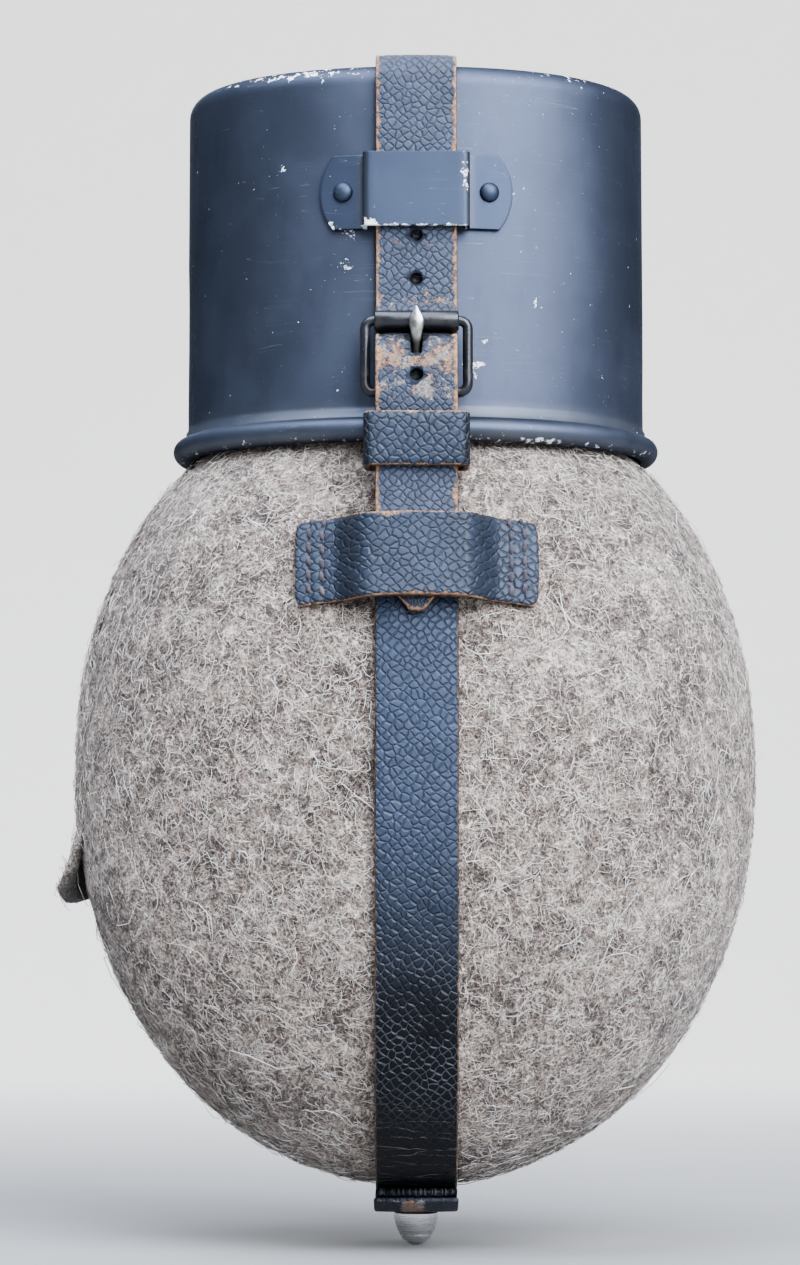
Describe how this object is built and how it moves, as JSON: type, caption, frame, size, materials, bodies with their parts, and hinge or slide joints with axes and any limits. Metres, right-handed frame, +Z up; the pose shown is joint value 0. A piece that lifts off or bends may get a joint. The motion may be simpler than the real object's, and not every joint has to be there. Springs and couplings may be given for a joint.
{
  "type": "canteen",
  "caption": "Felt-covered oval field bottle with a screw cap under an inverted drinking cup, held by a buckled leather strap, with a snap hook at the back.",
  "frame": {"origin": "on the neck's axis, level with the lowest point, the tip of the knob under the bottle", "axes": "+Z up along the neck's axis, -Y to the front where the buckle is, +X to the viewer's right"},
  "size_m": [0.1393, 0.0957, 0.2356],
  "materials": {
    "raw_aluminium": "drawn and washed, dull silver",
    "turned_aluminium": "lathe-turned, fine rings",
    "wool_felt": "mottled grey-brown felt with pale fibres",
    "cup_lacquer": "satin blue-black lacquer, chipped to bare metal at edges",
    "black_enamel": "black enamel worn to grey on the high spots",
    "harness_leather": "pebbled blue-black leather with tan cut edges",
    "plain_leather": "smooth brown leather",
    "steel": "worn bright steel",
    "seal_rubber": "red-brown rubber"
  },
  "bodies": {
    "flask": {"bottle_shell": "raw_aluminium", "felt_front": "wool_felt", "felt_back": "wool_felt", "felt_flap": "wool_felt", "press_stud_caps": "black_enamel", "press_stud_sockets": "steel", "long_strap": "harness_leather", "strap_end_pad": "harness_leather", "buckle_strap": "harness_leather", "front_loop": "harness_leather", "back_loop": "harness_leather", "base_stud": "turned_aluminium", "buckle_frame": "black_enamel", "hanger_strap": "harness_leather", "hanger_rivets": "steel"},
    "cup": {"cup_shell": "cup_lacquer", "front_bracket": "cup_lacquer", "back_bracket": "cup_lacquer", "front_rivets": "cup_lacquer", "back_rivets": "cup_lacquer"},
    "tether": {"cap_tether": "plain_leather"},
    "cap": {"screw_cap": "raw_aluminium", "cap_gasket": "seal_rubber", "tether_rivet": "turned_aluminium"},
    "roller": {"buckle_roller": "black_enamel"},
    "prong": {"buckle_prong": "steel"},
    "keeper": {"strap_keeper": "harness_leather"},
    "ring": {"hanger_ring": "raw_aluminium"},
    "hook": {"snap_hook": "raw_aluminium", "gate_pin": "steel", "gate_spring": "steel"},
    "gate": {"hook_gate": "raw_aluminium"}
  },
  "joints": [
    {"name": "cup_lift", "type": "slide", "parent": "flask", "child": "cup", "axis": [0, 0, 1], "range_m": [0, 0.07], "deforming": ["long_strap"]},
    {"name": "cap_lift", "type": "slide", "parent": "flask", "child": "tether", "axis": [0, 0, 1], "range_m": [0, 0.009], "deforming": ["cap_tether"]},
    {"name": "cap_turn", "type": "hinge", "parent": "tether", "child": "cap", "pos_m": [0, 0, 0.18], "axis": [0, 0, 1], "range_deg": [0, 1080]},
    {"name": "roller_spin", "type": "hinge", "parent": "flask", "child": "roller", "pos_m": [0, -0.0386, 0.1803], "axis": [1, 0, 0], "continuous": true},
    {"name": "prong_swing", "type": "hinge", "parent": "flask", "child": "prong", "pos_m": [0, -0.0386, 0.1662], "axis": [1, 0, 0], "range_deg": [0, 3]},
    {"name": "keeper_slide", "type": "slide", "parent": "flask", "child": "keeper", "axis": [0, 0, 1], "range_m": [-0.0027, 0]},
    {"name": "ring_swing", "type": "hinge", "parent": "flask", "child": "ring", "pos_m": [0, 0.0438, 0.1635], "axis": [1, 0, 0], "range_deg": [-90, 0]},
    {"name": "hook_swivel", "type": "hinge", "parent": "ring", "child": "hook", "pos_m": [0, 0.0438, 0.1705], "axis": [0, 0, 1], "range_deg": [-25, 25]},
    {"name": "gate_press", "type": "hinge", "parent": "hook", "child": "gate", "pos_m": [0.0095, 0.0438, 0.1815], "axis": [0, 1, 0], "range_deg": [-25, 0], "stiffness_Nm_per_rad": 0.01, "springref_deg": 5.73, "deforming": ["gate_spring"]}
  ],
  "couplings": [
    {"joint": "cap_lift", "follows": "cap_turn", "m_per_rad": 0.00047746}
  ]
}
